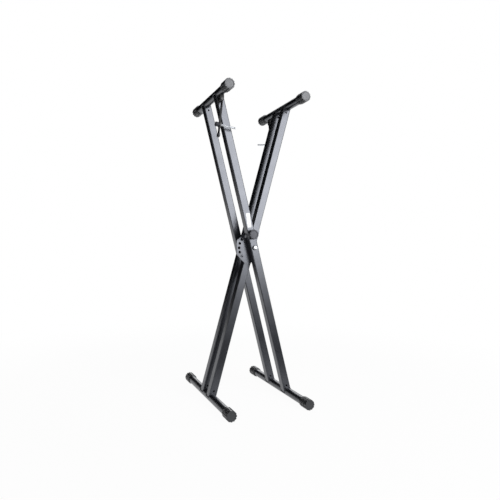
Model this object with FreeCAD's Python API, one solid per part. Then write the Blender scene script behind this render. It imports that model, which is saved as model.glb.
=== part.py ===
# Folding keyboard stand: two crossing legs of square steel tube, each with two tubes, a round foot bar and a round
# top bar, a pivot at the crossing, a sprung lock pin with its plate, and two hanging screws that hold a keyboard.
# Millimetres. X is the way the legs spread, Y runs along the bars with the front at -Y, Z is up from the floor.
# The origin is on the floor, midway between the feet.
import FreeCAD, Part
import math
import os
from FreeCAD import Vector

# Legs
leg_length = 975.0          # foot bar axis to top bar axis
leg_lean = 15.0             # each leg's lean from upright in the narrowest locked position, degrees
tube_side = 25.0            # square leg tube
tube_wall = 1.2
tube_corner = 2.5           # outside corner radius
inner_spacing = 60.0        # between the centres of the inner leg's two tubes
leg_gap = 3.5               # between the facing sides of an outer and an inner tube
weld_gap = 0.1              # coped tube end to bar
drain_hole = 6.0
drain_offset = 9.0          # drain hole centre to the bar's surface

# Bars and end caps
bar_diameter = 25.4
bar_wall = 1.2
foot_bar_length = 412.0
top_bar_length = 314.0
cap_flats = 32.0            # across the lands of a cap
cap_lands = 12
cap_length = 42.0
cap_end_wall = 4.0
cap_fit = 0.15              # radial, cap socket to bar
cap_groove_depth = 1.3
cap_groove_width = 3.0
cap_collar_length = 5.0
cap_ring_count = 2
cap_ring_width = 2.6

# Pivots
bolt_diameter = 8.0
bolt_clearance = 0.05       # radial, bolt in tubes, plate and washers
bolt_head_flats = 13.0
bolt_head_height = 5.3
nut_height = 8.0
bolt_past_nut = 2.0
washer_diameter = 16.0
washer_thickness = 1.6
thrust_diameter = 24.0
turning_play = 0.05         # axial, beside each turning face

# Lock
plate_thickness = 2.5
plate_reach = 51.5          # pivot to each slanted edge
plate_edges = (60, 105, 150, 195)   # which way those edges face, degrees from the inner leg's axis
plate_top = 62.0            # pivot to the top edge
plate_corner = 5.0
lock_radius = 43.0          # pivot to lock pin
lock_hole = 9.0
lock_step = 19.0            # between lock holes, degrees
lock_count = 7
lock_folded = 6.0           # hole for the folded stand, degrees from the inner leg's axis
pin_diameter = 8.0
pin_clearance = 0.05        # radial, pin in guide and screw in washer and slot nut
pin_rest_gap = 0.3          # pin tip to plate
pin_tip_taper = 1.2
collar_diameter = 11.9
collar_length = 4.0
collar_back = 5.5           # collar's rear face ahead of the outer tube's rear face
guide_diameter = 14.0
guide_fit = 0.1             # radial, guide in tube wall
guide_flange_diameter = 20.0
guide_flange_thickness = 1.5
guide_front_wall = 4.5      # flange face to spring seat
guide_bore = 12.0
spring_wire = 1.0
knob_diameter = 27.0
knob_length = 13.0
knob_gap = 5.0              # knob to guide flange
knob_scallops = 10
knob_scallop_radius = 5.0
knob_scallop_depth = 1.3

# Hanging screws
stay_y = 87.5               # centre of a strip from the stand's middle, along the bar
stay_pin_drop = 12.6        # hinge pin below the top bar's underside
stay_lean = 5.5             # how far a strip hangs off plumb, degrees
strip_width = 14.0
strip_thickness = 2.5
strip_length = 112.0        # hinge pin to the strip's end
eye_clearance = 0.1         # radial, eye on pin
stay_pin_diameter = 5.0
stay_pin_head = 9.0
stay_pin_head_thickness = 2.0
ear_thickness = 2.5
ear_width = 13.0
ear_play = 0.4              # beside the strip
slot_width = 6.6
slot_top = 24.0             # hinge pin to the slot's upper end
slot_bottom = 97.0
screw_drop = 76.0           # hinge pin to the screw
screw_diameter = 6.0
screw_neck_diameter = 5.4   # under the thread, from the knob to past the slot nut
screw_neck_past_nut = 0.5
screw_reach = 52.0          # shank beyond the strip
screw_point = 2.0
thumb_diameter = 14.0
thumb_length = 11.0
thumb_scallops = 8
thumb_scallop_radius = 2.5
thumb_scallop_depth = 0.8
screw_washer_diameter = 16.0
screw_washer_thickness = 1.2
slot_nut_side = 11.0
slot_nut_thickness = 3.0
face_gap = 0.05             # washer and slot nut to strip
tip_width = 16.5
tip_depth = 8.0
tip_height = 12.0
tip_cover = 9.0             # how much of the strip the tip takes in
tip_fit = 0.15
tip_round = 2.8

# Worked out from the values above
half_leg = leg_length / 2
bar_radius = bar_diameter / 2
cap_radius = cap_flats / 2
lean = math.radians(leg_lean)
pivot_height = cap_radius + half_leg * math.cos(lean)
inner_centre = inner_spacing / 2
outer_centre = inner_centre + tube_side + leg_gap
outer_front = outer_centre + tube_side / 2      # distance of the outer tubes' far faces from the middle
outer_back = outer_centre - tube_side / 2
inner_front = inner_centre + tube_side / 2
inner_back = inner_centre - tube_side / 2
bolt_radius = bolt_diameter / 2
bolt_bore = bolt_radius + bolt_clearance
lock_first = 2 * leg_lean   # first lock hole from the inner leg's axis, degrees
nut_face = inner_back - turning_play
plate_front = inner_front + plate_thickness
guide_face = outer_front + guide_flange_thickness
spring_seat = guide_face - guide_front_wall
collar_rear = outer_back + collar_back
collar_front = collar_rear + collar_length
knob_back = guide_face + knob_gap
up = Vector(0, 0, 1)
along = Vector(0, 1, 0)
across = Vector(1, 0, 0)
origin = Vector(0, 0, 0)
parts = {}


# ---- shared shapes ----

def rod(radius, low, high, x=0.0, z=0.0):
    """A cylinder along Y from low to high."""
    return Part.makeCylinder(radius, high - low, Vector(x, low, z), along)


def ring(outer_radius, inner_radius, low, high, x=0.0, z=0.0):
    """A washer or bush along Y from low to high."""
    return rod(outer_radius, low, high, x, z).cut(rod(inner_radius, low - 1, high + 1, x, z))


def prism(sides, flats, low, high):
    """A regular prism along Y, measured across its flats, with a flat facing down."""
    corner = flats / 2 / math.cos(math.pi / sides)
    turns = [2 * math.pi * (k + 0.5) / sides - math.pi / 2 for k in range(sides + 1)]
    points = [Vector(corner * math.cos(turn), low, corner * math.sin(turn)) for turn in turns]
    return Part.Face(Part.makePolygon(points)).extrude(Vector(0, high - low, 0))


def turned(points):
    """A solid of revolution about Y from (radius, y) points."""
    wire = Part.makePolygon([Vector(r, y, 0) for r, y in points + points[:1]])
    return Part.Face(wire).revolve(origin, along, 360)


def leaned(shape, degrees):
    """From a leg's own frame, upright with its pivot at the origin, to the stand's frame."""
    moved = shape.copy()
    moved.rotate(origin, along, degrees)
    moved.translate(Vector(0, 0, pivot_height))
    return moved


def mirrored_back(shape):
    """The same shape at the rear: half a turn about the upright through the pivot."""
    moved = shape.copy()
    moved.rotate(origin, up, 180)
    return moved


# ---- legs, in each leg's own frame ----

def leg_tube(y):
    """A leg tube, coped round the foot bar and the top bar, with its pivot hole and its drain holes."""
    outside = Part.makeBox(tube_side, tube_side, leg_length, Vector(-tube_side / 2, y - tube_side / 2, -half_leg))
    upright = [edge for edge in outside.Edges if abs(edge.tangentAt(edge.FirstParameter).z) > 0.99]
    inside = tube_side - 2 * tube_wall
    bore = Part.makeBox(inside, inside, leg_length, Vector(-inside / 2, y - inside / 2, -half_leg))
    tube = outside.makeFillet(tube_corner, upright).cut(bore)
    low = y - tube_side
    high = y + tube_side
    for end in (-half_leg, half_leg):
        tube = tube.cut(rod(bar_radius + weld_gap, low, high, z=end))
        drain = end - math.copysign(bar_radius + drain_offset, end)
        tube = tube.cut(rod(drain_hole / 2, y - tube_side / 2 - 1, y, z=drain))
    return tube.cut(rod(bolt_bore, low, high))


def bar(length, end):
    """A round tube along Y at one end of a leg."""
    return ring(bar_radius, bar_radius - bar_wall, -length / 2, length / 2, z=end)


def cap_section(apothem, y):
    """The cap's outline: flat lands with a vee between each two."""
    step = 360.0 / cap_lands
    half_land = apothem * math.tan(math.radians(step / 2)) - cap_groove_width / 2
    points = []
    for k in range(cap_lands):
        turn = math.radians(k * step)
        for offset in (-half_land, half_land):
            points.append(Vector(apothem * math.cos(turn) - offset * math.sin(turn), y,
                                 apothem * math.sin(turn) + offset * math.cos(turn)))
        notch = turn + math.radians(step / 2)
        depth = apothem - cap_groove_depth
        points.append(Vector(depth * math.cos(notch), y, depth * math.sin(notch)))
    return Part.makePolygon(points + points[:1])


def end_cap(length, side):
    """A ribbed rubber cap pushed over a bar's end: three fluted bands with a groove between each two."""
    bands = cap_ring_count + 1
    band = (cap_length - cap_collar_length - cap_ring_count * cap_ring_width) / bands
    neck_flats = 2 * (cap_radius - cap_groove_depth) * math.cos(math.pi / cap_lands)
    body = prism(cap_lands, neck_flats, 0, cap_collar_length)
    y = cap_collar_length
    for k in range(bands):
        body = body.fuse(Part.Face(cap_section(cap_radius, y)).extrude(Vector(0, band, 0)))
        y += band
        if k < cap_ring_count:
            body = body.fuse(prism(cap_lands, neck_flats, y, y + cap_ring_width))
            y += cap_ring_width
    body = body.cut(prism(cap_lands, bar_diameter + 2 * cap_fit, -1, cap_length - cap_end_wall))
    body.translate(Vector(0, length / 2 + cap_end_wall - cap_length, 0))
    if side < 0:
        body.rotate(origin, up, 180)
    return body


def make_leg(name, lean_degrees, tube_centre):
    """The two tubes, two bars and four caps of one leg."""
    parts[name + "_front_tube"] = leaned(leg_tube(-tube_centre), lean_degrees)
    parts[name + "_rear_tube"] = leaned(leg_tube(tube_centre), lean_degrees)
    for place, length, end in (("foot", foot_bar_length, -half_leg), ("top", top_bar_length, half_leg)):
        parts[f"{name}_{place}_bar"] = leaned(bar(length, end), lean_degrees)
        for where, side in (("front", -1), ("rear", 1)):
            cap = end_cap(length, side)
            cap.rotate(origin, along, -lean_degrees)
            cap.translate(Vector(0, 0, end))
            parts[f"{name}_{place}_{where}_cap"] = leaned(cap, lean_degrees)


# ---- pivots ----

def pivot_bolt():
    """The front pivot bolt: a hexagon head outside the outer tube and a shank through all four tube walls."""
    head_back = outer_front + washer_thickness
    head = prism(6, bolt_head_flats, -head_back - bolt_head_height, -head_back)
    return head.fuse(rod(bolt_radius, -head_back, -nut_face + nut_height + bolt_past_nut))


def make_pivots():
    """A bolt, its washer and nut, and the thrust washer that keeps the tubes apart, at the front and the rear."""
    washer = ring(washer_diameter / 2, bolt_bore, -outer_front - washer_thickness, -outer_front)
    nut = prism(6, bolt_head_flats, -nut_face, -nut_face + nut_height).cut(rod(bolt_radius, -nut_face - 1, 0))
    pieces = {
        "front_pivot_bolt": pivot_bolt(),
        "rear_pivot_bolt": mirrored_back(pivot_bolt()),
        "front_pivot_washer": washer,
        "rear_pivot_washer": mirrored_back(washer),
        "front_pivot_nut": nut,
        "rear_pivot_nut": mirrored_back(nut),
        "front_thrust_washer": ring(thrust_diameter / 2, bolt_bore, -outer_back, -plate_front - turning_play),
        "rear_thrust_washer": ring(thrust_diameter / 2, bolt_bore, inner_front + turning_play, outer_back),
    }
    for name, shape in pieces.items():
        parts[name] = leaned(shape, -leg_lean)


# ---- lock ----

def polar(radius, degrees):
    """A point of the inner leg's frame, at an angle from its axis towards the outer leg's top."""
    return -radius * math.sin(math.radians(degrees)), radius * math.cos(math.radians(degrees))


def plate_outline():
    """The plate's corners, where each straight edge meets the next one."""
    edges = [(0, plate_top)] + [(facing, plate_reach) for facing in plate_edges] + [(270, tube_side / 2)]
    corners = []
    for (facing, reach), (next_facing, next_reach) in zip(edges, edges[1:] + edges[:1]):
        a = math.radians(facing)
        b = math.radians(next_facing)
        x = (reach * math.cos(b) - next_reach * math.cos(a)) / math.sin(b - a)
        z = (next_reach * math.sin(a) - reach * math.sin(b)) / math.sin(a - b)
        corners.append(Vector(x, -plate_front, z))
    return Part.makePolygon(corners + corners[:1])


def locking_plate():
    """The plate on the front of the inner leg, with a lock hole for the folded stand and one for each width."""
    plate = Part.Face(plate_outline()).extrude(Vector(0, plate_thickness, 0))
    corners = [edge for edge in plate.Edges if abs(edge.tangentAt(edge.FirstParameter).y) > 0.99]
    plate = plate.makeFillet(plate_corner, corners)
    for angle in [lock_folded] + [lock_first + lock_step * k for k in range(lock_count)]:
        x, z = polar(lock_radius, angle)
        plate = plate.cut(rod(lock_hole / 2, -plate_front - 1, 0, x, z))
    return plate.cut(rod(bolt_bore, -plate_front - 1, 0))


def lock_guide():
    """The flanged guide through the outer front tube: a narrow front bore for the pin, a wide one for its spring."""
    profile = [(pin_diameter / 2 + pin_clearance, -guide_face), (guide_flange_diameter / 2, -guide_face),
               (guide_flange_diameter / 2, -outer_front), (guide_diameter / 2, -outer_front),
               (guide_diameter / 2, -outer_back), (guide_bore / 2, -outer_back),
               (guide_bore / 2, -spring_seat), (pin_diameter / 2 + pin_clearance, -spring_seat)]
    return turned(profile)


def lock_pin():
    """The pin, with the collar that the spring pushes and a tapered tip."""
    tip = plate_front + pin_rest_gap
    radius = pin_diameter / 2
    profile = [(0, -knob_back - knob_length * 0.7), (radius, -knob_back - knob_length * 0.7),
               (radius, -collar_front), (collar_diameter / 2, -collar_front), (collar_diameter / 2, -collar_rear),
               (radius, -collar_rear), (radius, -tip - pin_tip_taper), (radius - pin_tip_taper, -tip), (0, -tip)]
    return turned(profile)


def lock_spring():
    """The space that the lock spring fills, between the guide's seat and the pin's collar."""
    radius = (guide_bore + pin_diameter) / 4
    half_wire = spring_wire / 2
    return ring(radius + half_wire, radius - half_wire, -spring_seat, -collar_front)


def scalloped(diameter, length, scallops, scallop_radius, depth):
    """A knob along Y from 0 to length, with hollows round its rim."""
    body = rod(diameter / 2, 0, length)
    middle = diameter / 2 + scallop_radius - depth
    for k in range(scallops):
        turn = 2 * math.pi * k / scallops
        body = body.cut(rod(scallop_radius, -1, length + 1, middle * math.cos(turn), middle * math.sin(turn)))
    return body


def lock_knob():
    body = scalloped(knob_diameter, knob_length, knob_scallops, knob_scallop_radius, knob_scallop_depth)
    body.translate(Vector(0, -knob_back - knob_length, 0))
    return body.cut(rod(pin_diameter / 2, -knob_back - knob_length * 0.7, 0))


def make_lock():
    hole_x, hole_z = polar(lock_radius, lock_folded)
    wall_hole = rod(lock_hole / 2, -inner_front - 1, -inner_centre, hole_x, hole_z)
    parts["inner_front_tube"] = parts["inner_front_tube"].cut(leaned(wall_hole, leg_lean))
    parts["locking_plate"] = leaned(locking_plate(), leg_lean)
    guide_hole = rod(guide_diameter / 2 + guide_fit, -outer_front - 1, -outer_back + 1, z=lock_radius)
    parts["outer_front_tube"] = parts["outer_front_tube"].cut(leaned(guide_hole, -leg_lean))
    pieces = {"lock_guide": lock_guide(), "lock_pin": lock_pin(), "lock_spring": lock_spring(),
              "lock_knob": lock_knob()}
    for name, shape in pieces.items():
        shape.translate(Vector(0, 0, lock_radius))
        parts[name] = leaned(shape, -leg_lean)


# ---- hanging screws, in a frame with the hinge pin along Y through the origin and the strip straight down ----

def strip():
    """A flat strip rolled into an eye at the top, with a long slot for the screw."""
    pin_radius = stay_pin_diameter / 2 + eye_clearance
    eye_radius = pin_radius + strip_thickness
    half = strip_width / 2
    eye = ring(eye_radius, pin_radius, -half, half)
    flat = Part.makeBox(strip_thickness, strip_width, strip_length, Vector(pin_radius, -half, -strip_length))
    body = eye.fuse(flat)
    slot = Part.makeBox(2 * eye_radius, slot_width, slot_bottom - slot_top - slot_width,
                        Vector(0, -slot_width / 2, -slot_bottom + slot_width / 2))
    for drop in (slot_top + slot_width / 2, slot_bottom - slot_width / 2):
        slot = slot.fuse(Part.makeCylinder(slot_width / 2, 2 * eye_radius, Vector(0, 0, -drop), across))
    body = body.cut(slot)
    lower = [edge for edge in body.Edges
             if edge.Length < strip_thickness * 1.01 and edge.CenterOfMass.z < -strip_length + 0.1]
    return body.makeFillet(half * 0.45, lower).removeSplitter()


def strip_tip():
    """The soft tip over the strip's lower end."""
    middle = stay_pin_diameter / 2 + eye_clearance + strip_thickness / 2
    bottom = -strip_length + tip_cover - tip_height
    block = Part.makeBox(tip_depth, tip_width, tip_height, Vector(middle - tip_depth / 2, -tip_width / 2, bottom))
    block = block.makeFillet(tip_round, [edge for edge in block.Edges if edge.CenterOfMass.z < bottom + 0.01
                                         and abs(edge.tangentAt(0).x) > 0.99])
    pocket = Part.makeBox(strip_thickness + 2 * tip_fit, strip_width + 2 * tip_fit, strip_length,
                          Vector(middle - strip_thickness / 2 - tip_fit, -strip_width / 2 - tip_fit,
                                 -strip_length - tip_fit))
    return block.cut(pocket)


def stay_bracket():
    """A folded bracket welded under the top bar: two ears with round lower ends, and a web that fits the bar."""
    inside = strip_width / 2 + ear_play
    outside = inside + ear_thickness
    axis_height = bar_radius + stay_pin_drop
    web_low = stay_pin_diameter / 2 + eye_clearance + strip_thickness + 2 * ear_play
    half = ear_width / 2
    cheeks = []
    for low, high in ((-outside, -inside), (inside, outside)):
        plate = Part.makeBox(ear_width, high - low, axis_height, Vector(-half, low, 0))
        cheeks.append(plate.fuse(rod(half, low, high)))
    web = Part.makeBox(ear_width, 2 * outside, axis_height - web_low, Vector(-half, -outside, web_low))
    body = web.fuse(cheeks).removeSplitter()
    body = body.cut(rod(bar_radius + weld_gap, -outside - 1, outside + 1, z=axis_height))
    return body.cut(rod(stay_pin_diameter / 2, -outside - 1, outside + 1))


def stay_pin():
    """The hinge rivet, with its flat head outward and its other end flush with the bracket."""
    reach = strip_width / 2 + ear_play + ear_thickness
    head = rod(stay_pin_head / 2, -reach - stay_pin_head_thickness, -reach)
    return head.fuse(rod(stay_pin_diameter / 2, -reach, reach))


def along_x(shape):
    """Turns a shape built along +Y to lie along +X."""
    shape.rotate(origin, up, -90)
    return shape


def screw_pieces():
    """The thumbscrew's knob and shank, its washer, and the square nut that it turns in behind the slot."""
    near = stay_pin_diameter / 2 + eye_clearance
    far = near + strip_thickness
    washer_face = near - face_gap - screw_washer_thickness
    knob_end = washer_face - face_gap
    socket = knob_end - thumb_length * 0.7
    nut_low = far + face_gap
    nut_high = nut_low + slot_nut_thickness
    thread = nut_high + screw_neck_past_nut
    radius = screw_diameter / 2
    neck = screw_neck_diameter / 2
    knob = scalloped(thumb_diameter, thumb_length, thumb_scallops, thumb_scallop_radius, thumb_scallop_depth)
    knob.translate(Vector(0, knob_end - thumb_length, 0))
    knob = knob.cut(rod(neck, socket, knob_end + 1))
    shank = turned([(0, socket), (neck, socket), (neck, thread), (radius, thread),
                    (radius, far + screw_reach - screw_point), (radius * 0.45, far + screw_reach),
                    (0, far + screw_reach)])
    washer = ring(screw_washer_diameter / 2, neck + pin_clearance, washer_face, near - face_gap)
    nut = prism(4, slot_nut_side, nut_low, nut_high).cut(rod(neck + pin_clearance, nut_low - 1, nut_high + 1))
    shapes = {"thumb_knob": knob, "thumbscrew": shank, "screw_washer": washer, "slot_nut": nut}
    for shape in shapes.values():
        along_x(shape)
        shape.translate(Vector(0, 0, -screw_drop))
    return shapes


def make_stays():
    """One hanging screw at the front of the outer leg's top bar, its twin at the rear of the inner leg's."""
    bar_x = -half_leg * math.sin(lean)
    pin_height = pivot_height + half_leg * math.cos(lean) - bar_radius - stay_pin_drop
    fixed = {"stay_bracket": stay_bracket(), "stay_pin": stay_pin()}
    swinging = {"strip": strip(), "strip_tip": strip_tip()}
    swinging.update(screw_pieces())
    for shape in swinging.values():
        shape.rotate(origin, along, stay_lean)
    for name, shape in {**fixed, **swinging}.items():
        shape.translate(Vector(bar_x, -stay_y, pin_height))
        parts["front_" + name] = shape
        parts["rear_" + name] = mirrored_back(shape)


make_leg("outer", -leg_lean, outer_centre)
make_leg("inner", leg_lean, inner_centre)
make_pivots()
make_lock()
make_stays()

os.makedirs("parts", exist_ok=True)
for name, shape in parts.items():
    shape.exportStep(f"parts/{name}.step")
print(len(parts), "pieces")
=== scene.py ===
# Dresses the folding keyboard stand: stove-enamelled tubes, ribbed rubber caps, zinc hardware, moulded knobs,
# weld beads, screw threads and a bare white label, under the lights of a product picture.
import bpy
import bmesh
import numpy as np
from mathutils import Matrix, Vector


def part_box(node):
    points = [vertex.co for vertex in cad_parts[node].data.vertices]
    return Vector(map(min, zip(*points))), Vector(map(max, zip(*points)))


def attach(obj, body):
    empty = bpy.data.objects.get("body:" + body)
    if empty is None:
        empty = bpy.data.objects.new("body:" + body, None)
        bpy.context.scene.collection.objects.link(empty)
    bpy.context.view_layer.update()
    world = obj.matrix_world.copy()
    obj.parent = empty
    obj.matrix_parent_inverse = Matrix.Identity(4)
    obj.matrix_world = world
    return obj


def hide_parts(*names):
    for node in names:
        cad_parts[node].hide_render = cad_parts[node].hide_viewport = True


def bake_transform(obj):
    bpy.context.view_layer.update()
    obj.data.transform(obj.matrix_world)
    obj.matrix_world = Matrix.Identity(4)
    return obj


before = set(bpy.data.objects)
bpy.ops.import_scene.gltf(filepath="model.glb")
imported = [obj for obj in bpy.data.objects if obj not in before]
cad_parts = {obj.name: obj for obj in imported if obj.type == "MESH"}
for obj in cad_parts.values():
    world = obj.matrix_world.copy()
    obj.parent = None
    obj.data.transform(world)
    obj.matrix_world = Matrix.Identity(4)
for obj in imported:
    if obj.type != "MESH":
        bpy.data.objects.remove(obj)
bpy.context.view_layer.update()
mm = 0.001

# sizes of the stand itself, in millimetres, as the solids have them
stand = {"tubeSide": 25.0, "tubeCorner": 2.5, "outerCentre": 58.5, "innerCentre": 30.0, "barRadius": 12.7,
         "halfLeg": 487.5, "lean": 15.0, "pivotHeight": 486.89, "lockRadius": 43.0, "pinRadius": 4.0}
leanAngle = np.radians(stand["lean"])
barX = stand["halfLeg"] * np.sin(leanAngle)
topZ = stand["pivotHeight"] + stand["halfLeg"] * np.cos(leanAngle)


def addMesh(name, points, faces, material, body, replaces=(), sharp=35):
    # points in millimetres. Poles and seams are merged, faces turned outwards, and an edge stays sharp where
    # its faces meet at more than the angle. A piece given no body rides none
    mesh = bpy.data.meshes.new(name)
    mesh.from_pydata((np.asarray(points) * mm).tolist(), [], faces.tolist())
    shell = bmesh.new()
    shell.from_mesh(mesh)
    bmesh.ops.remove_doubles(shell, verts=shell.verts, dist=0.001 * mm)
    bmesh.ops.recalc_face_normals(shell, faces=shell.faces)
    shell.to_mesh(mesh)
    shell.free()
    mesh.shade_smooth()
    mesh.set_sharp_from_angle(angle=np.radians(sharp))
    mesh.materials.append(material)
    piece = bpy.data.objects.new(name, mesh)
    bpy.context.scene.collection.objects.link(piece)
    if body:
        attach(piece, body)
    if replaces:
        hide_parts(*replaces)
    return piece


def gridFaces(rows, columns, closeRows=False, flip=False):
    # quads over a grid whose columns go round, row by row
    i, j = np.meshgrid(np.arange(rows if closeRows else rows - 1), np.arange(columns), indexing="ij")
    below = (i + 1) % rows
    right = (j + 1) % columns
    quads = np.stack([i * columns + j, i * columns + right, below * columns + right, below * columns + j], -1)
    quads = quads.reshape(-1, 4)
    return quads[:, ::-1] if flip else quads


def roundPiece(radii, along, turn=0.0):
    # radii[i, j] is the radius at place along[i] and at angle j of a full turn about Y; both ends are closed by
    # rows of no radius
    rows, columns = radii.shape
    angle = np.linspace(0, 2 * np.pi, columns, endpoint=False) + turn
    x = radii * np.cos(angle)
    z = radii * np.sin(angle)
    y = np.repeat(np.asarray(along, float)[:, None], columns, 1)
    return np.stack([x, y, z], -1).reshape(-1, 3), gridFaces(rows, columns)


def tubeAlong(path, radius, sides=10, closed=False):
    # a round tube carried along a path: at each point the circle stands across the direction of travel, and
    # its first axis stands across a fixed slanted one that no path here follows; radius may differ from point
    # to point
    path = np.asarray(path, float)
    ahead = np.roll(path, -1, 0) - np.roll(path, 1, 0)
    if not closed:
        ahead[0] = path[1] - path[0]
        ahead[-1] = path[-1] - path[-2]
    ahead /= np.linalg.norm(ahead, axis=1)[:, None]
    slanted = [0.13, 0.31, 0.94]
    side = np.cross(ahead, slanted)
    side /= np.linalg.norm(side, axis=1)[:, None]
    lift = np.cross(side, ahead)
    angle = np.linspace(0, 2 * np.pi, sides, endpoint=False)
    radius = np.broadcast_to(radius, len(path))[:, None, None]
    ring = np.cos(angle)[None, :, None] * side[:, None] + np.sin(angle)[None, :, None] * lift[:, None]
    points = (path[:, None] + radius * ring).reshape(-1, 3)
    faces = gridFaces(len(path), sides, closeRows=closed, flip=True)
    return points, faces


def joined(shapes):
    # several point and face sets as one
    points = np.concatenate([p for p, f in shapes])
    counts = np.cumsum([0] + [len(p) for p, f in shapes[:-1]])
    faces = np.concatenate([f + c for (p, f), c in zip(shapes, counts)])
    return points, faces


def leaned(points, side):
    # from a leg's upright frame to the stand's: turned about Y by the lean, then lifted to the pivot
    c, s = np.cos(side * leanAngle), np.sin(side * leanAngle)
    x, y, z = np.asarray(points, float).T
    return np.stack([x * c + z * s, y, -x * s + z * c + stand["pivotHeight"]], -1)


def moved(points, x=0.0, y=0.0, z=0.0):
    return np.asarray(points, float) + [x, y, z]


def halfTurn(points):
    # about the upright axis, so the front becomes the rear
    return np.asarray(points, float) * [-1, -1, 1]


def linear(hexColour):
    # an sRGB hex colour as the linear values that shaders take
    parts = [int(hexColour[i:i + 2], 16) / 255 for i in (1, 3, 5)]
    return [c / 12.92 if c <= 0.04045 else ((c + 0.055) / 1.055) ** 2.4 for c in parts] + [1.0]


def addNode(tree, kind, feeds=None, **settings):
    # one node: settings name its properties or its inputs, feeds say which sockets go into which inputs
    node = tree.nodes.new(kind)
    for key, value in settings.items():
        if hasattr(node, key):
            setattr(node, key, value)
        else:
            node.inputs[key.replace("_", " ")].default_value = value
    for key, socket in (feeds or {}).items():
        tree.links.new(socket, node.inputs[key])
    return node


def finish(name, colour, metallic=0.0, roughness=(0.3, 0.4), specular=0.5, tint="#ffffff", grain=1.0, bump=0.05,
           spread=0.15, coarse=40.0):
    # a moulded, painted or plated surface. Colour wanders slightly over coarse patches, roughness between its
    # two values, and a fine grain lifts the surface; grain and coarse are the sizes of their features in mm.
    # The coarse noise mostly lies between 0.3 and 0.7
    material = bpy.data.materials.new(name)
    material.use_nodes = True
    tree = material.node_tree
    shader = tree.nodes["Principled BSDF"]
    shader.inputs["Metallic"].default_value = metallic
    shader.inputs["Specular IOR Level"].default_value = specular
    shader.inputs["Specular Tint"].default_value = linear(tint)
    place = addNode(tree, "ShaderNodeTexCoord").outputs["Object"]
    patches = addNode(tree, "ShaderNodeTexNoise", {"Vector": place}, Scale=1 / (coarse * mm), Detail=3.0)
    fine = addNode(tree, "ShaderNodeTexNoise", {"Vector": place}, Scale=1 / (grain * mm), Detail=2.0)
    base = linear(colour)
    dark = [c * (1 - spread) for c in base[:3]] + [1.0]
    light = [min(1.0, c * (1 + spread)) for c in base[:3]] + [1.0]
    shade = addNode(tree, "ShaderNodeMix", {"Factor": patches.outputs["Fac"]}, data_type="RGBA")
    shade.inputs[6].default_value = dark
    shade.inputs[7].default_value = light
    tree.links.new(shade.outputs[2], shader.inputs["Base Color"])
    matt = addNode(tree, "ShaderNodeMapRange", {"Value": patches.outputs["Fac"]}, From_Min=0.3, From_Max=0.7,
                   To_Min=roughness[0], To_Max=roughness[1])
    tree.links.new(matt.outputs["Result"], shader.inputs["Roughness"])
    relief = addNode(tree, "ShaderNodeBump", {"Height": fine.outputs["Fac"]}, Strength=bump, Distance=0.1 * mm)
    tree.links.new(relief.outputs["Normal"], shader.inputs["Normal"])
    return material


# stove enamel on steel: a deep blue-black with a slight orange peel, which spreads a soft box's reflection
stoveEnamel = finish("stoveEnamel", "#111216", roughness=(0.28, 0.32), specular=1.0, tint="#f0f4ff", grain=1.4,
                     bump=0.05)
# moulded rubber: a fine spark-eroded grain, drawn at 0.5 mm so that it shows
mouldedRubber = finish("mouldedRubber", "#151618", roughness=(0.30, 0.36), specular=0.75, tint="#f8faff", grain=0.5,
                       bump=0.15, coarse=18)
# injection-moulded plastic: less shiny than the rubber, as the photo shows the knobs
mouldedPlastic = finish("mouldedPlastic", "#17171b", roughness=(0.40, 0.48), specular=0.7, tint="#f2f4ff", grain=0.7,
                        bump=0.15, coarse=15)
# bright zinc plate: a cool metal with faint cloudy patches
zincPlate = finish("zincPlate", "#dcdfe4", metallic=1.0, roughness=(0.18, 0.30), grain=0.4, bump=0.06, spread=0.06,
                   coarse=6)
# phosphated steel: a thin matt black that barely shines, on the small pressed parts
phosphatedSteel = finish("phosphatedSteel", "#131316", roughness=(0.46, 0.54), specular=0.35, grain=0.5, bump=0.1,
                         coarse=8)
# zinc plate with a black passivation: nearly as dark as the enamel, with a faint metallic sheen
blackZinc = finish("blackZinc", "#1a1b1f", metallic=0.25, roughness=(0.30, 0.40), specular=0.6, grain=0.4, bump=0.06,
                   coarse=6)
# black nylon, cut from bar
blackNylon = finish("blackNylon", "#121213", roughness=(0.38, 0.46), grain=0.6, bump=0.08, coarse=10)
# drawn spring wire: a darker metal with small patches
springWire = finish("springWire", "#8f9196", metallic=1.0, roughness=(0.28, 0.4), grain=0.3, bump=0.1, coarse=4)
# coated label paper: a faint grain under a satin coat
labelPaper = finish("labelPaper", "#f3f4f5", roughness=(0.45, 0.55), grain=0.35, bump=0.05, spread=0.015, coarse=9)
# weld bead under the enamel: nearly the same black, with a rougher skin
weldEnamel = finish("weldEnamel", "#131418", roughness=(0.28, 0.36), specular=0.9, tint="#f0f4ff", grain=0.9,
                    bump=0.2, coarse=12)
print("materials made")


def dressNodes():
    # every solid that stays gets its finish in its own material slots
    finishes = {"tube": stoveEnamel, "bar": stoveEnamel, "plate": stoveEnamel, "bracket": phosphatedSteel,
                "strip": phosphatedSteel, "guide": blackZinc, "washer": blackZinc, "nut": zincPlate,
                "slot_nut": blackZinc, "thrust_washer": blackNylon, "bolt": zincPlate, "lock_pin": zincPlate,
                "stay_pin": blackZinc, "spring": springWire, "knob": mouldedPlastic, "cap": mouldedRubber,
                "tip": mouldedRubber, "thumbscrew": zincPlate}
    for name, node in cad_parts.items():
        material = next(m for end, m in sorted(finishes.items(), key=lambda e: -len(e[0])) if name.endswith(end))
        for slot in node.material_slots:
            slot.material = material


dressNodes()
print("solids dressed:", len(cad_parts))


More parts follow.
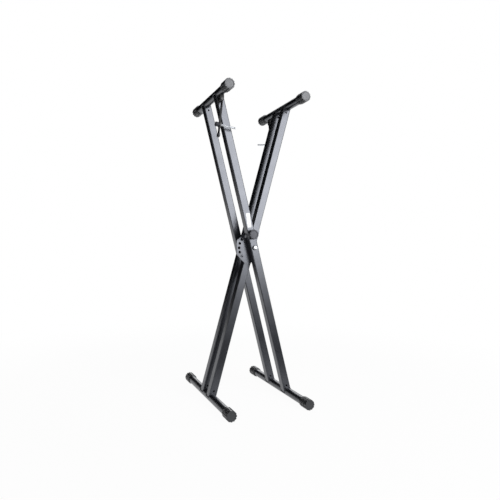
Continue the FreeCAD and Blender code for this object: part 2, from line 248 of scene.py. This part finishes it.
cap = {"flats": 32.0, "lands": 12, "length": 42.0, "endWall": 4.0, "bore": 12.87, "collar": 5.0, "rings": 2,
       "ringWidth": 2.6, "grooveDepth": 1.3, "columnsPerLand": 14, "collarStart": 0.35, "neckShrink": 0.985,
       "veeDepth": 2.3, "veeWidth": 3.8, "veePower": 1.2, "edge": 0.4,
       "edgeSteps": ((0, 0), (0.12, 0.55), (0.3, 0.88)),
       "rim": 0.8, "rimSteps": 4, "socketLip": 0.4, "face": 12.4, "dish": 0.6,
       "faceSteps": ((1.0, 0.0), (0.96, 0.2), (0.93, 1.0), (0.5, 1.0), (0.0, 1.0))}


def capShape():
    # radius = neck radius + (band radius - neck radius) x mask. The band is a polygon of flat lands with a round
    # vee at each corner, and the mask rises from 0 to 1 at each band's edges along a smooth step
    turns = np.linspace(0, 2 * np.pi, cap["lands"] * cap["columnsPerLand"], endpoint=False)
    step = 2 * np.pi / cap["lands"]
    fromLand = (turns + step / 2) % step - step / 2
    apothem = cap["flats"] / 2
    land = apothem / np.cos(fromLand)
    toCorner = (step / 2 - np.abs(fromLand)) * apothem
    vee = np.clip(1 - toCorner / (cap["veeWidth"] / 2), 0, 1)
    band = land - cap["veeDepth"] * np.sin(vee * np.pi / 2) ** cap["veePower"]
    neck = (apothem - cap["grooveDepth"]) * cap["neckShrink"]
    bands = cap["rings"] + 1
    bandLength = (cap["length"] - cap["collar"] - cap["rings"] * cap["ringWidth"]) / bands
    rise = cap["edgeSteps"] + ((cap["edge"], 1),)
    places = [0.0, cap["collarStart"]]
    masks = [0.0, 0.0]
    y = cap["collar"]
    for k in range(bands):
        for offset, mask in rise:
            places.append(y + offset)
            masks.append(mask)
        y += bandLength
        last = k == bands - 1
        for offset, mask in ((cap["rim"], 1),) if last else rise[::-1]:
            places.append(y - offset)
            masks.append(mask)
        y += cap["ringWidth"]
    outside = neck + (band[None] - neck) * np.array(masks)[:, None]
    rimTurn = np.linspace(0, np.pi / 2, cap["rimSteps"] + 1)[1:]
    rim = band[None] - cap["rim"] * (1 - np.cos(rimTurn))[:, None]
    rimPlaces = cap["length"] - cap["rim"] + cap["rim"] * np.sin(rimTurn)
    shares, depths = np.array(cap["faceSteps"]).T
    faceRadii = cap["face"] * shares
    facePlaces = cap["length"] - depths * cap["dish"]
    face = np.repeat(faceRadii[:, None], len(turns), 1)
    depth = cap["length"] - cap["endWall"]
    inside = np.repeat(np.array([0.0, cap["bore"], cap["bore"], neck - cap["socketLip"]])[:, None], len(turns), 1)
    insidePlaces = [depth, depth, 0.0, 0.0]
    radii = np.concatenate([inside, outside, rim, face])
    along = np.concatenate([insidePlaces, places, rimPlaces, facePlaces])
    return roundPiece(radii, along, turn=np.pi / 2)


def addCaps():
    points, faces = capShape()
    for leg, side in (("outer", -1), ("inner", 1)):
        for bar, end in (("foot", -1), ("top", 1)):
            lowest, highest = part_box(f"{leg}_{bar}_front_cap")
            middle = (lowest + highest) / 2 / mm
            reach = -lowest.y / mm - cap["length"]
            shape = moved(points, 0, reach, 0)
            for where, placed in (("front", halfTurn(shape)), ("rear", shape)):
                node = f"{leg}_{bar}_{where}_cap"
                addMesh(node.replace("_", " ").title().replace(" ", "") + "Ribbed",
                        moved(placed, middle.x, 0, middle.z), faces, mouldedRubber, f"{leg}_leg",
                        [node])


addCaps()
print("caps made")


lockKnob = {"radius": 15.3, "length": 13.0, "flutes": 10, "depth": 1.5, "edge": 1.5, "dish": 0.8, "hub": 10.4}
thumbKnob = {"radius": 7.0, "length": 11.0, "flutes": 8, "depth": 0.8, "edge": 1.0, "dish": 0.4, "hub": 4.0}
moulding = {"columnsPerFlute": 16, "flutePower": 0.8, "hubCentre": 0.6, "hubRing": ((0.35, 0.12), (0.8, 0.0)),
            "boreChamfer": (0.4, 0.3), "boreShare": 0.7, "boreFit": 0.02, "rimRows": 6}


def knobShape(knob, boreRadius, boreDepth):
    # radius = full radius - flute depth x (the positive part of a cosine with one wave a flute, softened). The
    # rims are rounded by a quarter turn, and the face steps down inside a raised ring
    turns = np.linspace(0, 2 * np.pi, knob["flutes"] * moulding["columnsPerFlute"], endpoint=False)
    flute = np.clip(np.cos(knob["flutes"] * turns), 0, 1) ** moulding["flutePower"]
    rim = knob["radius"] - knob["depth"] * flute
    quarter = np.linspace(0, np.pi / 2, moulding["rimRows"])
    edge = knob["edge"]
    rows = []
    places = []
    ringProfile = tuple((knob["hub"] + wider, place) for wider, place in moulding["hubRing"])
    for radius, place in ((0.0, knob["dish"]), (knob["hub"] * moulding["hubCentre"], knob["dish"]),
                          (knob["hub"], knob["dish"])) + ringProfile:
        rows.append(np.full(len(turns), radius))
        places.append(place)
    for q in quarter:
        rows.append(rim - edge * (1 - np.sin(q)))
        places.append(edge * (1 - np.cos(q)))
    for q in quarter:
        rows.append(rim - edge / 2 * (1 - np.cos(q)))
        places.append(knob["length"] - edge / 2 * (1 - np.sin(q)))
    wider, deeper = moulding["boreChamfer"]
    for radius, place in ((boreRadius + wider, knob["length"]), (boreRadius, knob["length"] - deeper),
                          (boreRadius, knob["length"] - boreDepth), (0.0, knob["length"] - boreDepth)):
        rows.append(np.full(len(turns), radius))
        places.append(place)
    return roundPiece(np.array(rows), places)


def addLockKnob():
    lowest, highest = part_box("lock_knob")
    boreRadius = stand["pinRadius"] + moulding["boreFit"]
    points, faces = knobShape(lockKnob, boreRadius, lockKnob["length"] * moulding["boreShare"])
    centre = (lowest + highest) / 2 / mm
    addMesh("LockKnobMoulded", moved(points, centre.x, lowest.y / mm, centre.z), faces, mouldedPlastic,
            "lock_pin_and_knob", ["lock_knob"])


addLockKnob()
print("lock knob made")


bolt = {"headFlats": 13.0, "headHeight": 5.3, "headBack": 72.6, "shank": 4.0, "end": 7.45, "chamfer": 0.7,
        "columns": 96, "widest": 7.6,
        "headCone": ((0.0, 0.0), (0.0, 3.6), (0.1, 4.3), (0.4, 5.2), (0.9, 6.2), (1.4, 6.9), (2.0, 7.6))}
coil = {"radius": 5.0, "wireRadius": 0.5, "start": 67.4, "finish": 56.1, "turns": 4.5, "stepsPerTurn": 30}


def boltShape():
    # the head's radius is the smaller of a hexagon's and a cone's, which gives the curved edge where a turned
    # chamfer meets each flat; the shank is a plain round with a chamfered end
    turns = np.linspace(0, 2 * np.pi, bolt["columns"], endpoint=False)
    sector = np.pi / 3
    fromFlat = (turns - np.pi / 2 + sector / 2) % sector - sector / 2
    hexagon = bolt["headFlats"] / 2 / np.cos(fromFlat)
    top = -bolt["headBack"] - bolt["headHeight"]
    rows = []
    places = []
    for depth, cone in bolt["headCone"] + ((bolt["headHeight"], bolt["widest"]),):
        rows.append(np.minimum(hexagon, cone))
        places.append(top + depth)
    for radius, place in ((bolt["shank"], -bolt["headBack"]), (bolt["shank"], -bolt["end"] - bolt["chamfer"]),
                          (bolt["shank"] - bolt["chamfer"], -bolt["end"]), (0.0, -bolt["end"])):
        rows.append(np.full(len(turns), radius))
        places.append(place)
    return roundPiece(np.array(rows), places)


def addPivotBolts():
    points, faces = boltShape()
    addMesh("FrontPivotBoltTurned", leaned(points, -1), faces, zincPlate, "outer_leg",
            ["front_pivot_bolt"])
    addMesh("RearPivotBoltTurned", leaned(halfTurn(points), -1), faces, zincPlate, "outer_leg",
            ["rear_pivot_bolt"])


def addLockSpring():
    # a helix about Y: the angle grows evenly with the place along the axis, and the wire closes at its ends.
    # Its front end sits at the guide's seat and its rear end at the pin's collar; the coil rides no body
    t = np.linspace(0, 1, int(coil["turns"] * coil["stepsPerTurn"]))
    angle = 2 * np.pi * coil["turns"] * t
    y = -coil["start"] + (coil["start"] - coil["finish"]) * t
    path = np.stack([coil["radius"] * np.cos(angle), y, coil["radius"] * np.sin(angle)], -1)
    thickness = np.full(len(t), coil["wireRadius"])
    thickness[[0, -1]] = 0.0
    points, faces = tubeAlong(path, thickness)
    wound = addMesh("LockSpringCoil", leaned(moved(points, 0, 0, stand["lockRadius"]), -1), faces, springWire,
                    None, ["lock_spring"])
    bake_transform(wound)


addPivotBolts()
addLockSpring()
print("bolts and spring made")


weld = {"radius": 1.35, "ripple": 0.16, "pitch": 2.1, "outward": 0.5, "above": 0.3, "sideSteps": 26,
        "cornerSteps": 7, "columns": 8}


def weldPath(centre, end):
    # round the tube's outline, a square with round corners, each point dropped onto the bar's round surface:
    # height = end - sqrt(bar radius squared - distance across squared), towards the middle of the leg
    half = stand["tubeSide"] / 2 + weld["outward"]
    corner = stand["tubeCorner"]
    straight = half - corner
    quarter = np.linspace(0, np.pi / 2, weld["cornerSteps"])
    across = []
    along = []
    for k in range(4):
        c, s = np.cos(k * np.pi / 2), np.sin(k * np.pi / 2)
        side = np.linspace(-straight, straight, weld["sideSteps"])[1:-1]
        u = np.concatenate([np.full(len(side), half), straight + corner * np.cos(quarter)])
        v = np.concatenate([side, straight + corner * np.sin(quarter)])
        across.append(u * c - v * s)
        along.append(u * s + v * c)
    across = np.concatenate(across)
    along = np.concatenate(along)
    reach = stand["barRadius"] + weld["above"]
    drop = np.sqrt(np.maximum(reach ** 2 - across ** 2, 0.0))
    return np.stack([across, centre + along, end * (stand["halfLeg"] - drop)], -1)


def addWelds(leg, side, centre):
    # each bead is a round section carried round the joint, swelling once every ripple pitch
    shapes = []
    for end in (-1, 1):
        for place in (-centre, centre):
            path = weldPath(place, end)
            step = np.linalg.norm(np.roll(path, -1, 0) - path, axis=1)
            run = np.concatenate([[0], np.cumsum(step)[:-1]])
            radius = weld["radius"] + weld["ripple"] * np.sin(2 * np.pi * run / weld["pitch"])
            shapes.append(tubeAlong(path, radius, sides=weld["columns"], closed=True))
    points, faces = joined(shapes)
    addMesh(leg.title() + "LegWelds", leaned(points, side), faces, weldEnamel, leg + "_leg",
            sharp=60)


addWelds("outer", -1, stand["outerCentre"])
addWelds("inner", 1, stand["innerCentre"])
print("welds made")


label = {"across": 0.5, "width": 13.5, "low": 66.0, "high": 112.0, "tilt": -6.0, "corner": 2.0, "lift": 0.04,
         "thick": 0.12, "cornerSteps": 7, "topShare": 0.985, "topRise": 1.2}


def addLabel():
    # a flat sheet with round corners, a little thicker than paper, on the outer front tube; it is left blank
    quarter = np.linspace(0, np.pi / 2, label["cornerSteps"])
    halfWidth = label["width"] / 2 - label["corner"]
    halfLength = (label["high"] - label["low"]) / 2 - label["corner"]
    outline = []
    for k, (sx, sz) in enumerate(((1, 1), (-1, 1), (-1, -1), (1, -1))):
        angle = quarter + k * np.pi / 2
        outline.append(np.stack([sx * halfWidth + label["corner"] * np.cos(angle),
                                 sz * halfLength + label["corner"] * np.sin(angle)], -1))
    tilt = np.radians(label["tilt"])
    outline = np.concatenate(outline) @ [[np.cos(tilt), np.sin(tilt)], [-np.sin(tilt), np.cos(tilt)]]
    count = len(outline)
    middle = (label["low"] + label["high"]) / 2
    back = -(stand["outerCentre"] + stand["tubeSide"] / 2) - label["lift"]
    top = back - label["thick"] * label["topRise"]
    layers = []
    for scale, y in ((0.0, back), (1.0, back), (1.0, back - label["thick"]), (label["topShare"], top), (0.0, top)):
        layers.append(np.stack([label["across"] + outline[:, 0] * scale, np.full(count, y),
                                middle + outline[:, 1] * scale], -1))
    points = np.concatenate(layers)
    faces = gridFaces(len(layers), count, flip=True)
    addMesh("BlankLabel", leaned(points, -1), faces, labelPaper, "outer_leg")


addLabel()
print("label made")


hanging = {"hingeX": -barX, "hingeY": -87.5, "drop": 25.3, "lean": 5.5, "screwDrop": 76.0, "near": 2.6, "far": 5.1,
           "neck": 2.7, "thread": 3.0, "threadDepth": 0.45, "pitch": 1.0, "threadStart": 8.65, "threadEnd": 57.1,
           "knobEnd": 1.3, "columns": 24, "stepsPerPitch": 6, "plainEnd": 2.0, "rootShare": 0.15,
           "fadeLength": 1.5, "pointRadius": 1.6, "endRadius": 1.35, "endChamfer": 0.25, "neckGap": 0.02}


def hung(points):
    # from a strip's own frame, hinge at the origin and strip straight down, to its place under the top bar
    a = np.radians(hanging["lean"])
    c, s = np.cos(a), np.sin(a)
    x, y, z = np.asarray(points, float).T
    return np.stack([x * c + z * s + hanging["hingeX"], y + hanging["hingeY"],
                     -x * s + z * c + topZ - hanging["drop"]], -1)


def alongScrew(points):
    # a shape built along +Y is laid along the screw, +X in the strip's frame
    x, y, z = np.asarray(points, float).T
    return np.stack([y, -x, z - hanging["screwDrop"]], -1)


def screwShape():
    # radius = thread radius - depth x (root share + the rest x a triangle wave of (place / pitch - angle / full
    # turn)), a helix; the neck is plain and the point tapers
    turns = np.linspace(0, 2 * np.pi, hanging["columns"], endpoint=False)
    start, stop = hanging["threadStart"], hanging["threadEnd"] - hanging["plainEnd"]
    places = np.linspace(start, stop, int((stop - start) / hanging["pitch"] * hanging["stepsPerPitch"]))
    phase = (places[:, None] / hanging["pitch"] - turns[None] / (2 * np.pi)) % 1
    wave = np.abs(2 * phase - 1)
    fade = np.clip(np.minimum(places - start, stop - places) / hanging["fadeLength"], 0, 1)[:, None]
    root = hanging["rootShare"]
    thread = hanging["thread"] - hanging["threadDepth"] * (root + (1 - root) * wave) * fade
    socket = hanging["knobEnd"] - thumbKnob["length"] * moulding["boreShare"]
    neck = np.repeat([[0.0], [hanging["neck"]], [hanging["neck"]]], len(turns), 1)
    point = np.repeat([[hanging["pointRadius"]], [hanging["endRadius"]], [0.0]], len(turns), 1)
    radii = np.concatenate([neck, thread, point])
    along = np.concatenate([[socket, socket, start - hanging["neckGap"]], places,
                            [hanging["threadEnd"] - hanging["endChamfer"], hanging["threadEnd"],
                             hanging["threadEnd"]]])
    return roundPiece(radii, along)


tip = {"halfDepth": 4.0, "halfWidth": 8.25, "columns": 48, "planPower": 3.2, "domePower": 2.4, "domeSteps": 12,
       "domeTop": -108.0, "domeDepth": 7.0, "shoulderSizes": [0.0, 0.80, 0.93, 0.985, 1.0, 1.0],
       "shoulderHeights": [-103.0, -103.0, -103.15, -103.5, -104.0, -108.0]}


def tipShape():
    # a soft block over the strip's end: a superellipse in plan, (|cos|^p + |sin|^p) to the power -1/p, whose
    # lower half closes like a dome, (1 - depth^q) to the power 1/q
    turns = np.linspace(0, 2 * np.pi, tip["columns"], endpoint=False)
    c, s = np.cos(turns), np.sin(turns)
    plan = (np.abs(c) ** tip["planPower"] + np.abs(s) ** tip["planPower"]) ** (-1 / tip["planPower"])
    t = np.linspace(0, 1, tip["domeSteps"])
    lower = (1 - t ** tip["domePower"]) ** (1 / tip["domePower"])
    lower[-1] = 0.0
    sizes = np.concatenate([tip["shoulderSizes"], lower])
    heights = np.concatenate([tip["shoulderHeights"], tip["domeTop"] - tip["domeDepth"] * t])
    middle = (hanging["near"] + hanging["far"]) / 2
    x = middle + tip["halfDepth"] * (plan * c)[None] * sizes[:, None]
    y = tip["halfWidth"] * (plan * s)[None] * sizes[:, None]
    z = np.repeat(heights[:, None], len(turns), 1)
    return np.stack([x, y, z], -1).reshape(-1, 3), gridFaces(len(sizes), len(turns))


def addHangingScrews():
    knobPoints, knobFaces = knobShape(thumbKnob, hanging["neck"] + moulding["boreFit"],
                                      thumbKnob["length"] * moulding["boreShare"])
    knobPoints = hung(alongScrew(moved(knobPoints, 0, hanging["knobEnd"] - thumbKnob["length"], 0)))
    screwPoints, screwFaces = screwShape()
    screwPoints = hung(alongScrew(screwPoints))
    tipPoints, tipFaces = tipShape()
    tipPoints = hung(tipPoints)
    for end, place in (("front", np.asarray), ("rear", halfTurn)):
        word = end.title()
        turning = end + "_thumbscrew_and_knob"
        addMesh(word + "ThumbKnobMoulded", place(knobPoints), knobFaces, mouldedPlastic, turning,
                [end + "_thumb_knob"])
        addMesh(word + "ThumbscrewThreaded", place(screwPoints), screwFaces, zincPlate, turning,
                [end + "_thumbscrew"])
        addMesh(word + "StripTipMoulded", place(tipPoints), tipFaces, mouldedRubber, end + "_stay",
                [end + "_strip_tip"])


addHangingScrews()
print("hanging screws made")


# metres, watts and degrees, with the lens in millimetres. A drum flag's values are its radius, its low and high
# edges, and the angles where it starts and stops
studio = {"softboxPlace": (1.08, -2.45, 1.32), "softboxSize": (1.2, 1.9), "softboxPower": 64.0,
          "softboxAim": (0, 0, 0.6), "fillPlace": (-1.8, -2.2, 2.6), "fillSize": (1.2, 1.2), "fillPower": 3.0,
          "fillAim": (0, 0, 0.5), "backPlace": (0.97, 2.54, 1.35), "backSize": (1.2, 1.0), "backPower": 8.0,
          "backAim": (0, 0, 0.1), "worldSoft": 0.25, "floorHalf": 6.0, "floorNear": 0.96, "floorFade": (0.5, 1.6),
          "highFlag": (3.4, 0.95, 4.0, 85, 260), "leftFlag": (3.2, 0.30, 4.0, -100, 5), "drumSteps": 25,
          "floorFlag": [[-0.6, -0.34, 0.002], [1.9, -0.34, 0.002], [1.9, -2.4, 0.002], [-0.6, -2.4, 0.002]]}
shot = {"place": (-0.5912, -1.3821, 0.4907), "heading": 23.665, "pitch": -0.442, "roll": 0.774, "lens": 32.7}


def whiteSeen(tree):
    # 1 where the camera, a reflection or a transmitted ray looks, else 0
    ray = addNode(tree, "ShaderNodeLightPath")
    seen = addNode(tree, "ShaderNodeMath", {0: ray.outputs["Is Camera Ray"], 1: ray.outputs["Is Glossy Ray"]},
                   operation="MAXIMUM")
    either = addNode(tree, "ShaderNodeMath", {0: seen.outputs[0], 1: ray.outputs["Is Transmission Ray"]},
                     operation="MAXIMUM")
    return either.outputs[0]


def paleFloor():
    # a pale matt floor that is seen as nearly white near the stand, where its shadow shows, and as plain white
    # further off, so it has no edge against the background
    material = bpy.data.materials.new("paleFloor")
    material.use_nodes = True
    material.cycles.emission_sampling = "NONE"
    tree = material.node_tree
    tree.nodes.clear()
    place = addNode(tree, "ShaderNodeTexCoord").outputs["Object"]
    away = addNode(tree, "ShaderNodeVectorMath", {0: place}, operation="LENGTH")
    near, far = studio["floorFade"]
    glow = addNode(tree, "ShaderNodeMapRange", {"Value": away.outputs["Value"]}, interpolation_type="SMOOTHSTEP",
                   From_Min=near, From_Max=far, To_Min=studio["floorNear"], To_Max=1.0)
    share = addNode(tree, "ShaderNodeMath", {0: glow.outputs["Result"], 1: whiteSeen(tree)}, operation="MULTIPLY")
    matt = addNode(tree, "ShaderNodeBsdfDiffuse", Color=linear("#f4f4f4"))
    white = addNode(tree, "ShaderNodeEmission", Strength=1.0)
    mix = addNode(tree, "ShaderNodeMixShader", {0: share.outputs[0], 1: matt.outputs[0], 2: white.outputs[0]})
    addNode(tree, "ShaderNodeOutputMaterial", {"Surface": mix.outputs[0]})
    return material


def addFloor():
    mesh = bpy.data.meshes.new("PaleFloor")
    half = studio["floorHalf"]
    mesh.from_pydata([(-half, -half, 0), (half, -half, 0), (half, half, 0), (-half, half, 0)], [], [(0, 1, 2, 3)])
    mesh.materials.append(paleFloor())
    floor = bpy.data.objects.new("PaleFloor", mesh)
    bpy.context.scene.collection.objects.link(floor)


def flagCloth():
    # black cloth: no shine, and next to no colour
    material = bpy.data.materials.new("flagCloth")
    material.use_nodes = True
    tree = material.node_tree
    tree.nodes.clear()
    cloth = addNode(tree, "ShaderNodeBsdfDiffuse", Color=linear("#050505"))
    addNode(tree, "ShaderNodeOutputMaterial", {"Surface": cloth.outputs[0]})
    return material


def addFlag(name, points, faces, cloth):
    # a flag keeps some faces of the tubes dark, as in a photographer's studio; only reflections see it
    mesh = bpy.data.meshes.new(name)
    mesh.from_pydata(points.tolist(), [], faces.tolist())
    mesh.materials.append(cloth)
    flag = bpy.data.objects.new(name, mesh)
    bpy.context.scene.collection.objects.link(flag)
    flag.visible_camera = False
    flag.visible_shadow = False
    flag.visible_diffuse = False


def drumFlag(name, radius, low, high, start, stop, cloth):
    # part of an upright drum round the stand; angles run from +Y towards +X
    turns = np.radians(np.linspace(start, stop, studio["drumSteps"]))
    x = np.repeat(radius * np.sin(turns)[None], 2, 0)
    y = np.repeat(radius * np.cos(turns)[None], 2, 0)
    z = np.repeat([[low], [high]], len(turns), 1)
    i = np.arange(len(turns) - 1)
    faces = np.stack([i, i + 1, i + 1 + len(turns), i + len(turns)], -1)
    addFlag(name, np.stack([x, y, z], -1).reshape(-1, 3), faces, cloth)


def addLamp(name, place, size, power, target):
    lamp = bpy.data.lights.new(name, "AREA")
    lamp.shape = "RECTANGLE"
    lamp.size, lamp.size_y = size
    lamp.energy = power
    holder = bpy.data.objects.new(name, lamp)
    holder.location = place
    holder.rotation_euler = (Vector(target) - Vector(place)).to_track_quat("-Z", "Y").to_euler()
    holder.visible_camera = False
    bpy.context.scene.collection.objects.link(holder)


def addWorld():
    # white behind the stand and in its reflections, and a soft grey light on it
    world = bpy.data.worlds.new("studioWorld")
    bpy.context.scene.world = world
    world.use_nodes = True
    world.cycles.sampling_method = "NONE"  # else light sampling would mix the grey into reflections
    tree = world.node_tree
    tree.nodes.clear()
    soft = addNode(tree, "ShaderNodeBackground", Color=linear("#ffffff"), Strength=studio["worldSoft"])
    white = addNode(tree, "ShaderNodeBackground", Color=linear("#ffffff"), Strength=1.0)
    mix = addNode(tree, "ShaderNodeMixShader", {0: whiteSeen(tree), 1: soft.outputs[0], 2: white.outputs[0]})
    addNode(tree, "ShaderNodeOutputWorld", {"Surface": mix.outputs[0]})


def addCamera():
    # heading, pitch and roll as a surveyor gives them, turned into the camera's three axes
    heading, pitch, roll = (np.radians(shot[k]) for k in ("heading", "pitch", "roll"))
    ahead = Vector((np.sin(heading) * np.cos(pitch), np.cos(heading) * np.cos(pitch), np.sin(pitch)))
    right = Vector((np.cos(heading), -np.sin(heading), 0))
    above = right.cross(ahead)
    levelRight = right * np.cos(roll) + above * np.sin(roll)
    levelAbove = above * np.cos(roll) - right * np.sin(roll)
    data = bpy.data.cameras.new("StandCamera")
    data.lens = shot["lens"]
    data.sensor_width = 36.0
    data.clip_start = 0.05
    camera = bpy.data.objects.new("StandCamera", data)
    camera.matrix_world = Matrix.Translation(shot["place"]) @ Matrix(
        (levelRight, levelAbove, -ahead)).transposed().to_4x4()
    bpy.context.scene.collection.objects.link(camera)
    bpy.context.scene.camera = camera


addFloor()
cloth = flagCloth()
drumFlag("HighFlag", *studio["highFlag"], cloth)
drumFlag("LeftFlag", *studio["leftFlag"], cloth)
addFlag("FloorFlag", np.array(studio["floorFlag"]), np.array([[3, 2, 1, 0]]), cloth)
for lampName, key in (("Softbox", "softbox"), ("FillLamp", "fill"), ("BackStrip", "back")):
    addLamp(lampName, studio[key + "Place"], studio[key + "Size"], studio[key + "Power"], studio[key + "Aim"])
addWorld()
addCamera()
bpy.context.scene.view_settings.view_transform = "Standard"
print("studio made")
